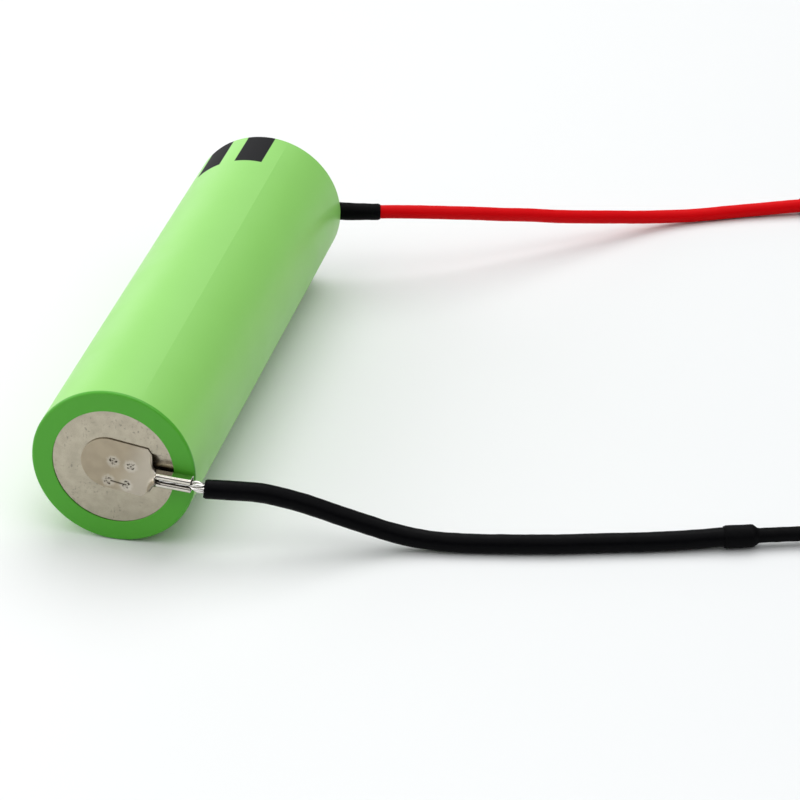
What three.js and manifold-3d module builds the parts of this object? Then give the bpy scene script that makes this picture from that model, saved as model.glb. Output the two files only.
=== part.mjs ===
// A cylindrical rechargeable cell lying on its side, with a spot-welded solder tag on each end and a black
// and a red flying lead. Millimetres, +Z up. The cell's axis runs along Y, 9.25 mm above the surface that the
// cell lies on; the negative end faces -Y, the positive end +Y, and both leads leave towards +X. The origin
// is on the surface, under the middle of the cell.

import * as THREE from 'three';
import { mergeVertices } from 'three/addons/utils/BufferGeometryUtils.js';
import Module from 'manifold-3d';

const wasm = await Module();
wasm.setup();

// ---- Driving dimensions of the cell -------------------------------------------------------------

const cellRadius = 9.25;
const cellLength = 65.3;
const halfLength = cellLength / 2;
const wrapThickness = 0.12;
const wrapCorner = 0.32;
const negativeFoldRadius = 6.9;
const positiveFoldRadius = 7.1;
const slip = 0.03;

const canRadius = cellRadius - wrapThickness - slip;
const canWall = 0.22;
const canFloor = 0.3;
const canBore = canRadius - canWall;
const canBottom = -halfLength + wrapThickness + slip;
const canRimTop = halfLength - wrapThickness - 0.12;
const canRimBore = 7.4;
const beadMiddle = 28.8;
const beadDepth = 1.0;

// ---- Driving dimensions of the header, each level worked up from the gasket's shelf -------------

const headerRadius = 8.2;
const headerGap = 0.03;
const gasketFloor = 29.92;
const gasketLip = 0.24;
const plateThickness = 0.3;
const contactPlateLevel = gasketFloor + gasketLip + 0.04;
const cidLevel = contactPlateLevel + plateThickness + headerGap;
const cidThickness = 0.2;
const ventLevel = cidLevel + cidThickness + headerGap;
const ptcLevel = ventLevel + plateThickness + headerGap;
const capLevel = ptcLevel + plateThickness + headerGap;
const capFlange = 0.45;
const ventRadius = 3.8;
const ventGroove = 0.1;
const stackBore = 4.6;
const domeRadius = 4.0;
const domeSheet = 0.4;
const paperBore = 5.0;
const paperThickness = 0.08;

// ---- Driving dimensions of the wound electrodes -------------------------------------------------

const windingTurns = 5;
const windingSteps = 18;
const windingBore = 1.7;
const windingPitch = 1.066;
const foilThickness = 0.3;
const filmThickness = 0.1;
const foilBottom = -31.3;
const foilTop = 26.0;
const filmBottom = -31.6;
const filmTop = 26.5;
const innerSeparatorOffset = 0.36;
const anodeOffset = 0.52;
const outerSeparatorOffset = 0.88;
const centerPin = { inner: 1.2, outer: 1.5, bottom: -31.4, length: 57.6 };
const topInsulator = { inner: 2.2, outer: 8.3, level: 27.0 };
const bottomInsulator = { inner: 1.0, outer: 8.1, level: -31.95 };
const fibreThickness = 0.2;

// ---- Driving dimensions of the solder tags ------------------------------------------------------

const tagSheet = 0.15;
const tagLift = 0.02;
const tagHalfWidth = 3.05;
const tagRoundCentre = -0.56;
const tagShoulder = 4.15;
const neckHalfWidth = 1.15;
const neckRootHalfWidth = 0.7;
const neckTipHalfWidth = 0.5;
const barrelStart = 5.25;
const barrelLength = 3.9;
const barrelHeight = 1.12;
const barrelHalfWidth = 0.82;
const barrelHalfHeight = 0.76;
const barrelBore = 0.6;

// The negative tag sits a little skew on the can's bottom, and its barrel is bent part of the way back.
const negativeBarrelTurn = THREE.MathUtils.degToRad(-4.2);
const negativePlateTurn = THREE.MathUtils.degToRad(-5.2);
const negativePlateShift = 0.12;
const negativeTagOffset = 0.285;
const positiveTagOffset = -0.45;

// ---- Driving dimensions of the leads ------------------------------------------------------------

const blackJacket = { outer: 1.075, inner: 0.72 };
const blackCore = 0.55;
const redJacket = { outer: 0.84, inner: 0.58 };
const redCore = 0.42;

// Routes of the two leads' centre lines. Each starts inside its crimp barrel, leaves it straight, comes down
// under its own weight, lies along the surface, and ends straight.
const blackRoute = [
  [5.6, -33.62, 9.12], [9.1, -33.62, 8.87], [10.4, -33.7, 8.6], [13.2, -32.9, 8.25], [16.2, -31.6, 7.6],
  [20.2, -30.1, 6.1], [25.4, -28.6, 3.8], [30.7, -27.5, 1.9], [34.1, -27.0, 1.3], [38.3, -26.3, 1.1],
  [43.7, -25.2, 1.1], [47.9, -24.2, 1.1], [52.1, -23.0, 1.1], [57.4, -21.5, 1.1], [62.4, -19.95, 1.2],
  [64.9, -19.15, 1.33], [67.9, -18.18, 1.33], [73.1, -16.5, 1.33], [82.5, -13.46, 1.33],
];
const redRoute = [
  [5.6, 33.77, 8.8], [9.2, 33.77, 8.8], [11.3, 34.0, 8.85], [13.5, 34.5, 8.85], [16.1, 35.4, 8.7],
  [19.0, 36.6, 8.4], [21.8, 38.1, 7.9], [24.6, 39.8, 7.3], [27.4, 41.8, 6.5], [30.7, 44.4, 5.5],
  [34.0, 47.0, 4.4], [37.4, 49.7, 3.4], [40.8, 52.3, 2.5], [43.0, 54.0, 1.9], [45.4, 55.7, 1.4],
  [47.9, 57.2, 1.05], [50.2, 58.4, 0.9], [53.2, 59.85, 0.88], [56.2, 61.15, 0.9], [61.9, 63.3, 1.1],
  [66.0, 64.85, 1.1], [74.0, 67.87, 1.1],
];
// Where each jacket starts and ends, as X along the route.
const blackJacketSpan = [10.4, 66.6];
const redJacketSpan = [9.9, 63.6];
const positiveSleeveSpan = [7.6, 13.8];
const positiveSleeve = { outer: 1.08, inner: 0.98 };
const jacketStep = 2.4;
const sleeveStep = 0.8;

// Heat-shrink on the leads' far ends: wide over the jacket, then shrunk down on the bare strands.
const blackEndSleeve = {
  start: 64.9, wide: 3.15, cone: 0.8, narrow: 9.5, wideRadius: 1.27, narrowRadius: 0.815,
};
const redEndSleeve = {
  start: 62.3, wide: 3.0, cone: 0.8, narrow: 5.5, wideRadius: 1.04, narrowRadius: 0.7,
};
const sleeveWall = 0.1;

// ---- Materials ----------------------------------------------------------------------------------

function finish(color, roughness, metalness) {
  return new THREE.MeshStandardMaterial({ color, roughness, metalness });
}

const greenFilm = finish(0x63b548, 0.35, 0);
const canSteel = finish(0xb9b2a2, 0.35, 1);
const tagNickel = finish(0xaba18c, 0.35, 1);
const tinnedCopper = finish(0xc9c7c0, 0.3, 1);
const blackJacketPlastic = finish(0x0d0d0e, 0.45, 0);
const redJacketPlastic = finish(0xb4151a, 0.4, 0);
const shrinkTube = finish(0x141415, 0.6, 0);
const whitePaper = finish(0xe9e7df, 0.8, 0);
const gasketPlastic = finish(0xd9d9d4, 0.5, 0);
const ptcPolymer = finish(0x4a4c50, 0.6, 0.2);
const aluminium = finish(0xc8cacc, 0.35, 1);
const cathodeCoating = finish(0x2e2e30, 0.8, 0);
const anodeCoating = finish(0x8a5a3a, 0.6, 0.3);
const separatorFilm = finish(0xf1f1ee, 0.6, 0);
const fibreBoard = finish(0xb8a888, 0.8, 0);

// ---- Shape helpers ------------------------------------------------------------------------------

const turnSteps = 36;

// A closed (radius, height) loop turned about the cell's axis. Radii are measured to the middle of each flat
// facet, and one facet faces straight down, so the turned shape rests on a flat.
function turned(profile, steps = turnSteps) {
  const halfStep = Math.PI / steps;
  const points = profile.map(([radius, height]) => new THREE.Vector2(radius / Math.cos(halfStep), height));
  if (profile[0][0] > 0) {
    points.push(points[0].clone());
  }
  return new THREE.LatheGeometry(points, steps, halfStep);
}

function ringProfile(innerRadius, outerRadius, level, thickness) {
  return [
    [innerRadius, level],
    [outerRadius, level],
    [outerRadius, level + thickness],
    [innerRadius, level + thickness],
  ];
}

function polygonPoints(radius, steps, phase = 0) {
  const points = [];
  for (let i = 0; i < steps; i += 1) {
    const angle = phase + (i / steps) * 2 * Math.PI;
    points.push(new THREE.Vector2(radius * Math.cos(angle), radius * Math.sin(angle)));
  }
  return points;
}

function shapeOf(points) {
  return new THREE.Shape(points.map((point) => new THREE.Vector2(point[0], point[1])));
}

function extruded(shape, depth) {
  return new THREE.ExtrudeGeometry(shape, { depth, bevelEnabled: false, steps: 1 });
}

// Turns an extrusion along Z into one along the cell's axis, Y.
function alongAxis(geometry, level) {
  return geometry.rotateX(-Math.PI / 2).translate(0, level, 0);
}

function toSolid(geometry) {
  const bare = geometry.clone();
  bare.deleteAttribute('normal');
  bare.deleteAttribute('uv');
  const merged = mergeVertices(bare, 1e-4);
  const triangles = [];
  const index = merged.index.array;
  for (let i = 0; i < index.length; i += 3) {
    const [a, b, c] = [index[i], index[i + 1], index[i + 2]];
    if (a !== b && b !== c && c !== a) {
      triangles.push(a, b, c);
    }
  }
  const mesh = new wasm.Mesh({
    numProp: 3,
    vertProperties: new Float32Array(merged.attributes.position.array),
    triVerts: new Uint32Array(triangles),
  });
  return new wasm.Manifold(mesh);
}

function toGeometry(solid) {
  const mesh = solid.getMesh();
  const geometry = new THREE.BufferGeometry();
  geometry.setAttribute('position', new THREE.Float32BufferAttribute(mesh.vertProperties, 3));
  geometry.setIndex(Array.from(mesh.triVerts));
  return geometry;
}

function named(name, geometry, material) {
  const mesh = new THREE.Mesh(geometry, material);
  mesh.name = name;
  return mesh;
}

// ---- Wrap and can -------------------------------------------------------------------------------

function wrapGeometry() {
  const bore = cellRadius - wrapThickness;
  const innerEnd = halfLength - wrapThickness;
  const innerCorner = wrapCorner - 0.09;
  return turned([
    [negativeFoldRadius, -halfLength],
    [cellRadius - wrapCorner, -halfLength],
    [cellRadius - wrapCorner / 4, -halfLength + wrapCorner / 4],
    [cellRadius, -halfLength + wrapCorner],
    [cellRadius, halfLength - wrapCorner],
    [cellRadius - wrapCorner / 4, halfLength - wrapCorner / 4],
    [cellRadius - wrapCorner, halfLength],
    [positiveFoldRadius, halfLength],
    [positiveFoldRadius, innerEnd],
    [bore - innerCorner, innerEnd],
    [bore, innerEnd - innerCorner],
    [bore, -innerEnd + innerCorner],
    [bore - innerCorner, -innerEnd],
    [negativeFoldRadius, -innerEnd],
  ]);
}

function canGeometry() {
  const beadTop = beadMiddle + 0.3;
  const beadBase = beadMiddle - 0.3;
  const beadRun = 0.6;
  return turned([
    [0, canBottom],
    [canRadius - 0.7, canBottom],
    [canRadius - 0.25, canBottom + 0.15],
    [canRadius, canBottom + 0.6],
    [canRadius, beadBase - beadRun],
    [canRadius - beadDepth, beadBase],
    [canRadius - beadDepth, beadTop],
    [canRadius, beadTop + beadRun],
    [canRadius, canRimTop - 0.61],
    [canRadius - 0.15, canRimTop - 0.26],
    [canRadius - 0.45, canRimTop],
    [canRimBore, canRimTop],
    [canRimBore, canRimTop - canWall],
    [canBore - 0.33, canRimTop - canWall],
    [canBore - 0.1, canRimTop - canWall - 0.19],
    [canBore, canRimTop - canWall - 0.49],
    [canBore, beadTop + beadRun + 0.05],
    [canBore - beadDepth, beadTop + 0.05],
    [canBore - beadDepth, beadBase - 0.05],
    [canBore, beadBase - beadRun - 0.05],
    [canBore, canBottom + canFloor + 0.4],
    [canBore - 0.38, canBottom + canFloor],
    [0, canBottom + canFloor],
  ]);
}

// ---- Header -------------------------------------------------------------------------------------

function gasketGeometry() {
  const outer = canBore - slip;
  const top = canRimTop - canWall - 0.04;
  const bore = headerRadius + 0.05;
  return turned([
    [7.3, gasketFloor],
    [outer, gasketFloor],
    [outer, top - 0.47],
    [outer - 0.11, top - 0.2],
    [outer - 0.33, top],
    [7.15, top],
    [7.15, top - gasketLip],
    [bore, top - gasketLip],
    [bore, gasketFloor + gasketLip],
    [7.3, gasketFloor + gasketLip],
  ]);
}

// The cap's dome has three vent windows in its sloping side.
function capGeometry() {
  const windows = 3;
  const windowSize = [2.4, 0.42, 2.2];
  let cap = toSolid(turned([
    [0, halfLength - domeSheet],
    [domeRadius - 0.3, halfLength - domeSheet],
    [domeRadius + 0.3, capLevel],
    [headerRadius, capLevel],
    [headerRadius, capLevel + capFlange],
    [domeRadius + 0.85, capLevel + capFlange],
    [domeRadius + 0.3, halfLength - 0.2],
    [domeRadius, halfLength],
    [0, halfLength],
  ]));
  for (let i = 0; i < windows; i += 1) {
    const window = new THREE.BoxGeometry(...windowSize);
    window.translate(0, capLevel + capFlange + 0.24, domeRadius + 0.4);
    window.rotateY((i / windows) * 2 * Math.PI + Math.PI / 6);
    cap = cap.subtract(toSolid(window));
  }
  return toGeometry(cap);
}

function ventDiscGeometry() {
  const rise = ventLevel - cidLevel;
  const sheet = plateThickness - 0.05;
  const low = contactPlateLevel + plateThickness + headerGap;
  return turned([
    [0, low],
    [1.2, low],
    [2.0, low + rise],
    [ventRadius, low + rise],
    [ventRadius, low + rise + sheet],
    [1.9, low + rise + sheet],
    [1.1, low + sheet],
    [0, low + sheet],
  ]);
}

function contactPlateGeometry() {
  const holes = 6;
  const holeRadius = 0.8;
  const holeCircle = 3.2;
  const halfStep = Math.PI / turnSteps;
  const plate = new THREE.Shape(polygonPoints(headerRadius / Math.cos(halfStep), turnSteps, halfStep));
  for (let i = 0; i < holes; i += 1) {
    const angle = (i / holes) * 2 * Math.PI;
    const centre = new THREE.Vector2(holeCircle * Math.cos(angle), holeCircle * Math.sin(angle));
    const edge = polygonPoints(holeRadius, 10).map((point) => point.add(centre));
    plate.holes.push(new THREE.Path(edge.reverse()));
  }
  return alongAxis(extruded(plate, plateThickness), contactPlateLevel);
}

// ---- Windings -----------------------------------------------------------------------------------

// One layer of the winding: a flat strip wound in a spiral, drawn as a closed band and extruded.
function spiralGeometry(offset, thickness, bottom, top) {
  const outside = [];
  const inside = [];
  for (let i = 0; i <= windingTurns * windingSteps; i += 1) {
    const angle = (i / windingSteps) * 2 * Math.PI;
    const radius = windingBore + offset + windingPitch * (i / windingSteps);
    outside.push([(radius + thickness) * Math.cos(angle), (radius + thickness) * Math.sin(angle)]);
    inside.push([radius * Math.cos(angle), radius * Math.sin(angle)]);
  }
  return alongAxis(extruded(shapeOf([...outside, ...inside.reverse()]), top - bottom), bottom);
}

// A strip folded to an L, drawn in the plane of the cell's axis and centred on it.
function foldedStrip(outline, width) {
  return extruded(shapeOf(outline), width).translate(0, 0, -width / 2);
}

// From the can's floor, out under the bottom insulator and up along the outermost turn.
function negativeInnerTabGeometry() {
  const low = canBottom + canFloor + 0.05;
  return foldedStrip([
    [-2, low], [8.35, low], [8.35, -24], [8.25, -24], [8.25, low + 0.1], [-2, low + 0.1],
  ], 3);
}

// From the windings up through the top insulator's hole, folded over under the contact plate.
function positiveInnerTabGeometry() {
  const high = contactPlateLevel - 0.07;
  return foldedStrip([
    [1.6, filmTop + 0.1], [1.7, filmTop + 0.1], [1.7, high], [-3, high], [-3, high - 0.1], [1.6, high - 0.1],
  ], 2.4);
}

// ---- Solder tags --------------------------------------------------------------------------------

// The tag's own frame: +X runs along the crimp barrel, +Z points away from the cell's end.
function tagOutline(plateTurn, plateShift) {
  const plate = new THREE.Vector2(tagRoundCentre, plateShift);
  const onPlate = (along, across) => new THREE.Vector2(along, across)
    .rotateAround(new THREE.Vector2(), plateTurn).add(plate);
  const arcSteps = 14;
  const outline = [];
  for (let i = 0; i <= arcSteps; i += 1) {
    const angle = Math.PI / 2 + (i / arcSteps) * Math.PI;
    outline.push(onPlate(tagHalfWidth * Math.cos(angle), tagHalfWidth * Math.sin(angle)));
  }
  const neck = [
    [barrelStart - 0.35, neckHalfWidth],
    [barrelStart + 0.15, neckRootHalfWidth],
    [barrelStart + 0.6, neckTipHalfWidth],
  ];
  outline.push(onPlate(tagShoulder, -tagHalfWidth));
  outline.push(...neck.map(([along, half]) => new THREE.Vector2(along, -half)));
  outline.push(...neck.reverse().map(([along, half]) => new THREE.Vector2(along, half)));
  outline.push(onPlate(tagShoulder, tagHalfWidth));
  return new THREE.Shape(outline);
}

// The strip seen from its edge: flat on the cell, then bent up to the barrel's base.
function tagSideView() {
  const top = tagLift + tagSheet;
  const base = barrelHeight - barrelHalfHeight;
  return shapeOf([
    [-5, tagLift], [barrelStart - 1.05, tagLift], [barrelStart + 0.05, base], [barrelStart + 0.7, base],
    [barrelStart + 0.7, base + 0.14], [barrelStart - 0.05, base + 0.14], [barrelStart - 1.15, top], [-5, top],
  ]);
}

// The barrel's section: a strip rolled up on both sides, whose two edges meet in a seam and turn down in it.
function barrelSection() {
  const boreSteps = 12;
  const seam = 0.06;
  const points = [
    [-seam / 2, 0.66], [-0.28, barrelHalfHeight], [-0.58, 0.7], [-barrelHalfWidth, 0.35],
    [-barrelHalfWidth, -0.4], [-0.5, -barrelHalfHeight], [0.5, -barrelHalfHeight], [barrelHalfWidth, -0.4],
    [barrelHalfWidth, 0.35], [0.58, 0.7], [0.28, barrelHalfHeight], [seam / 2, 0.66],
  ];
  const gapAngle = Math.asin(seam / 2 / barrelBore);
  for (let i = 0; i <= boreSteps; i += 1) {
    const angle = Math.PI / 2 - gapAngle - (i / boreSteps) * 2 * (Math.PI - gapAngle);
    points.push([barrelBore * Math.cos(angle), barrelBore * Math.sin(angle)]);
  }
  return shapeOf(points);
}

function tagGeometry(plateTurn, plateShift) {
  const depth = 8;
  const fromAbove = toSolid(extruded(tagOutline(plateTurn, plateShift), 2));
  const fromEdge = toSolid(extruded(tagSideView(), depth).translate(0, 0, -depth / 2).rotateX(Math.PI / 2));
  const barrel = extruded(barrelSection(), barrelLength);
  barrel.rotateX(Math.PI / 2).rotateZ(Math.PI / 2).translate(barrelStart, 0, barrelHeight);
  return toGeometry(fromAbove.intersect(fromEdge).add(toSolid(barrel)));
}

// Holds a tag's frame on one end of the cell: side is -1 on the negative end and +1 on the positive end.
function tagHolder(side, level, offset, turn) {
  const holder = new THREE.Group();
  holder.position.set(0, level, offset);
  holder.rotation.x = (-side * Math.PI) / 2;
  const swivel = new THREE.Group();
  swivel.rotation.z = turn;
  holder.add(swivel);
  return { holder, swivel };
}

// ---- Leads --------------------------------------------------------------------------------------

function routeCurve(route) {
  return new THREE.CatmullRomCurve3(route.map((point) => new THREE.Vector3(...point)), false, 'centripetal');
}

// The stretch of a route between two values of X. Every stretch of one route is cut at the same evenly spaced
// stations, so a jacket and the strands inside it bend at the same places.
function stretch(curve, span, step) {
  const count = Math.round(curve.getLength() / step);
  const stations = curve.getSpacedPoints(count);
  const points = stations.filter((point) => point.x > span[0] - step / 2 && point.x < span[1] + step / 2);
  return { path: new THREE.CatmullRomCurve3(points, false, 'centripetal'), steps: points.length - 1 };
}

function tubeAlong(curve, span, step, outerRadius, innerRadius, sides = 8) {
  const { path, steps } = stretch(curve, span, step);
  const section = new THREE.Shape(polygonPoints(outerRadius, sides));
  if (innerRadius) {
    section.holes.push(new THREE.Path(polygonPoints(innerRadius, sides).reverse()));
  }
  return new THREE.ExtrudeGeometry(section, { steps, extrudePath: path, bevelEnabled: false });
}

// A sleeve turned about Y, then laid along the route's straight last stretch.
function endSleeveGeometry(route, size) {
  const tip = new THREE.Vector3(...route[route.length - 1]);
  const direction = tip.clone().sub(new THREE.Vector3(...route[route.length - 2])).normalize();
  const start = tip.clone().addScaledVector(direction, (size.start - tip.x) / direction.x);
  const { wide, cone, narrow, wideRadius, narrowRadius } = size;
  const sleeve = turned([
    [wideRadius - sleeveWall, 0],
    [wideRadius, 0],
    [wideRadius, wide],
    [narrowRadius, wide + cone],
    [narrowRadius, wide + cone + narrow],
    [narrowRadius - sleeveWall, wide + cone + narrow],
    [narrowRadius - sleeveWall, wide + cone],
    [wideRadius - sleeveWall, wide],
  ], 12);
  const turn = new THREE.Quaternion().setFromUnitVectors(new THREE.Vector3(0, 1, 0), direction);
  return sleeve.applyQuaternion(turn).translate(start.x, start.y, start.z);
}

// ---- Assembly -----------------------------------------------------------------------------------

function addWrapAndCan(cell) {
  cell.add(named('pvc_wrap', wrapGeometry(), greenFilm));
  cell.add(named('cell_can', canGeometry(), canSteel));
}

function addHeader(cell) {
  const paper = ringProfile(paperBore, canRadius - 0.6, canRimTop + 0.02, paperThickness);
  const ptc = ringProfile(stackBore, headerRadius, ptcLevel, plateThickness);
  const rim = ringProfile(ventRadius + ventGroove, headerRadius, ventLevel, plateThickness);
  const cid = ringProfile(stackBore, headerRadius, cidLevel, cidThickness);
  cell.add(named('positive_ring_insulator', turned(paper), whitePaper));
  cell.add(named('header_gasket', gasketGeometry(), gasketPlastic));
  cell.add(named('positive_cap', capGeometry(), canSteel));
  cell.add(named('ptc_ring', turned(ptc), ptcPolymer));
  cell.add(named('vent_disc_rim', turned(rim), aluminium));
  cell.add(named('vent_disc', ventDiscGeometry(), aluminium));
  cell.add(named('cid_insulator', turned(cid), gasketPlastic));
  cell.add(named('contact_plate', contactPlateGeometry(), aluminium));
}

function addWindings(cell) {
  const layers = [
    ['cathode_winding', 0, foilThickness, foilBottom, foilTop, cathodeCoating],
    ['inner_separator', innerSeparatorOffset, filmThickness, filmBottom, filmTop, separatorFilm],
    ['anode_winding', anodeOffset, foilThickness, foilBottom, foilTop, anodeCoating],
    ['outer_separator', outerSeparatorOffset, filmThickness, filmBottom, filmTop, separatorFilm],
  ];
  for (const [name, offset, thickness, bottom, top, material] of layers) {
    cell.add(named(name, spiralGeometry(offset, thickness, bottom, top), material));
  }
  const pin = ringProfile(centerPin.inner, centerPin.outer, centerPin.bottom, centerPin.length);
  cell.add(named('center_pin', turned(pin), canSteel));
  for (const [name, size] of [['top_insulator', topInsulator], ['bottom_insulator', bottomInsulator]]) {
    const ring = ringProfile(size.inner, size.outer, size.level, fibreThickness);
    cell.add(named(name, turned(ring), fibreBoard));
  }
  cell.add(named('positive_inner_tab', positiveInnerTabGeometry(), aluminium));
  cell.add(named('negative_inner_tab', negativeInnerTabGeometry(), tagNickel));
}

function addTags(cell) {
  const negative = tagHolder(-1, canBottom, negativeTagOffset, negativeBarrelTurn);
  negative.swivel.add(named('negative_tag', tagGeometry(negativePlateTurn, negativePlateShift), tagNickel));
  const positive = tagHolder(1, halfLength, positiveTagOffset, 0);
  positive.swivel.add(named('positive_tag', tagGeometry(0, 0), tagNickel));
  cell.add(negative.holder, positive.holder);
}

function addLeads(object) {
  const black = routeCurve(blackRoute);
  const red = routeCurve(redRoute);
  const blackEnds = [blackRoute[0][0], blackRoute[blackRoute.length - 1][0]];
  const redEnds = [redRoute[0][0], redRoute[redRoute.length - 1][0]];
  const blackJacketTube = tubeAlong(black, blackJacketSpan, jacketStep, blackJacket.outer, blackJacket.inner);
  const redJacketTube = tubeAlong(red, redJacketSpan, jacketStep, redJacket.outer, redJacket.inner);
  const { outer, inner } = positiveSleeve;
  const sleeveTube = tubeAlong(red, positiveSleeveSpan, sleeveStep, outer, inner, 12);
  object.add(named('black_conductor', tubeAlong(black, blackEnds, jacketStep, blackCore), tinnedCopper));
  object.add(named('black_insulation', blackJacketTube, blackJacketPlastic));
  object.add(named('black_end_sleeve', endSleeveGeometry(blackRoute, blackEndSleeve), shrinkTube));
  object.add(named('red_conductor', tubeAlong(red, redEnds, jacketStep, redCore), tinnedCopper));
  object.add(named('red_insulation', redJacketTube, redJacketPlastic));
  object.add(named('red_end_sleeve', endSleeveGeometry(redRoute, redEndSleeve), shrinkTube));
  object.add(named('positive_sleeve', sleeveTube, shrinkTube));
}

const batteryCell = new THREE.Group();
const cell = new THREE.Group();
cell.position.z = cellRadius;
addWrapAndCan(cell);
addHeader(cell);
addWindings(cell);
addTags(cell);
batteryCell.add(cell);
addLeads(batteryCell);

export default batteryCell;
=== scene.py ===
"""A round battery cell in a green film wrap, with crimped solder tags and two flying leads.

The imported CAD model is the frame. This script builds the fine visible pieces around it, gives every piece a
procedural material, and sets up a pale floor, soft light and a camera.
"""
import math

import bpy
import numpy as np
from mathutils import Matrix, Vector, noise


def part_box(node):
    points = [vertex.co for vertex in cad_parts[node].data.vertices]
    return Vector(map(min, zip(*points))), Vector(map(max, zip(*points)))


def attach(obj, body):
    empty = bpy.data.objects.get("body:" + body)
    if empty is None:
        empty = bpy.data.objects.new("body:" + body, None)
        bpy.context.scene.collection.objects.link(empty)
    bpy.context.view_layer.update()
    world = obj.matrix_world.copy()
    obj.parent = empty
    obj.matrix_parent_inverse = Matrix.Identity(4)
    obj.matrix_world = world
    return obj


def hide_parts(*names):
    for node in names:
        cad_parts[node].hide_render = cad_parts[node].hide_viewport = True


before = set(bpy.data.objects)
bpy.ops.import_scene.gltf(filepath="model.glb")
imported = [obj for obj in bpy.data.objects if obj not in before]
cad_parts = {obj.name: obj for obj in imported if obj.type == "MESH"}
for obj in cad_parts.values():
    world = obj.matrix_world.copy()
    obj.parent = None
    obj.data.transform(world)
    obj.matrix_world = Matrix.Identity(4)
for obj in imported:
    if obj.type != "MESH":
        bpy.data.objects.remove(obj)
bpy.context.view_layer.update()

scene = bpy.context.scene

# ---- Sizes, in millimetres, worked out from the frame --------------------------------------------

MM = 0.001


def node_box(name):
    low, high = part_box(name)
    return np.array(low) / MM, np.array(high) / MM


wrap_low, wrap_high = node_box("pvc_wrap")
can_low, can_high = node_box("cell_can")
R = (wrap_high[2] - wrap_low[2]) / 2
AXIS_Z = (wrap_high[2] + wrap_low[2]) / 2
END = wrap_high[1]
CAN_R = (can_high[2] - can_low[2]) / 2
CAN_BOTTOM = can_low[1]
CAN_RIM = can_high[1]
FILM = R - CAN_R - 0.03
NEGATIVE_FOLD_R = 6.9
POSITIVE_FOLD_R = 7.1

# ---- Camera --------------------------------------------------------------------------------------

CAMERA_AZIMUTH = 13.15
CAMERA_ELEVATION = 29.67
CAMERA_DISTANCE = 410.6
CAMERA_TARGET = (26.98, -11.23, AXIS_Z)
LENS = 165.0


def make_camera():
    azimuth, elevation = math.radians(CAMERA_AZIMUTH), math.radians(CAMERA_ELEVATION)
    back = Vector((
        math.sin(azimuth) * math.cos(elevation),
        -math.cos(azimuth) * math.cos(elevation),
        math.sin(elevation),
    ))
    data = bpy.data.cameras.new("camera")
    data.lens = LENS
    data.sensor_width = 36
    data.clip_start, data.clip_end = 0.01, 20
    camera = bpy.data.objects.new("camera", data)
    camera.rotation_mode = "QUATERNION"
    camera.location = (Vector(CAMERA_TARGET) + back * CAMERA_DISTANCE) * MM
    camera.rotation_quaternion = (-back).to_track_quat("-Z", "Y")
    scene.collection.objects.link(camera)
    scene.camera = camera


make_camera()

# ---- Mesh helpers --------------------------------------------------------------------------------


def mesh_piece(name, points, faces, material, sharp=35):
    """A smooth-shaded mesh made of points in millimetres, which rides on the cell."""
    mesh = bpy.data.meshes.new(name)
    mesh.from_pydata((np.asarray(points, float) * MM).tolist(), [], faces)
    mesh.update()
    mesh.shade_smooth()
    mesh.set_sharp_from_angle(angle=math.radians(sharp))
    mesh.materials.append(material)
    piece = bpy.data.objects.new(name, mesh)
    scene.collection.objects.link(piece)
    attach(piece, "cell")
    return piece


def stands_for(node):
    """Hides the CAD node whose place the piece takes."""
    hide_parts(node)


def grid_faces(rows, columns, close_rows=False, close_columns=False, start=0):
    faces = []
    for i in range(rows if close_rows else rows - 1):
        for j in range(columns if close_columns else columns - 1):
            k, m = (i + 1) % rows, (j + 1) % columns
            faces.append((
                start + i * columns + j,
                start + i * columns + m,
                start + k * columns + m,
                start + k * columns + j,
            ))
    return faces


def fraction(value, start, length):
    """How far a value is from start to start + length, held between 0 and 1."""
    return min(1, max(0, (value - start) / length))


def ease(value, low, high):
    """From 0 at low to 1 at high, with a soft start and end."""
    s = fraction(value, low, high - low)
    return s * s * (3 - 2 * s)


def arc(centre, radius, start, end, steps):
    """Points on a circle's arc in the (radius, length) plane, angles in degrees."""
    angles = np.radians(np.linspace(start, end, steps + 1))
    return [(centre[0] + radius * math.cos(a), centre[1] + radius * math.sin(a)) for a in angles]


def line(start, end, steps):
    """Points from start up to, but not including, end."""
    return [tuple(np.add(start, np.subtract(end, start) * i / steps)) for i in range(steps)]


def revolved(name, profile, material, steps=120, angles=None, warp=None):
    """A closed loop of (radius, y) turned about the cell's axis. Angle 0 is the top, and +X is at 90 degrees.
    A loop that starts and ends on the axis is closed by the axis itself."""
    if angles is None:
        angles = np.arange(steps) / steps * 2 * math.pi
    on_axis = profile[0][0] == 0
    rows = profile[1:-1] if on_axis else profile
    points = []
    for radius, y in rows:
        for angle in angles:
            r, length = (radius, y) if warp is None else warp(angle, radius, y)
            points.append((r * math.sin(angle), length, AXIS_Z + r * math.cos(angle)))
    count = len(angles)
    faces = grid_faces(len(rows), count, close_rows=not on_axis, close_columns=True)
    if on_axis:
        for y, row, flip in ((profile[0][1], 0, False), (profile[-1][1], len(rows) - 1, True)):
            centre = len(points)
            points.append((0, y, AXIS_Z))
            for j in range(count):
                edge = (row * count + j, row * count + (j + 1) % count)
                faces.append((centre, edge[1], edge[0]) if not flip else (centre, edge[0], edge[1]))
    return mesh_piece(name, points, faces, material)


def travelled_along(path):
    """How far along the path each of its points is."""
    return np.concatenate([[0], np.cumsum(np.linalg.norm(np.diff(path, axis=0), axis=1))])


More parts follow.
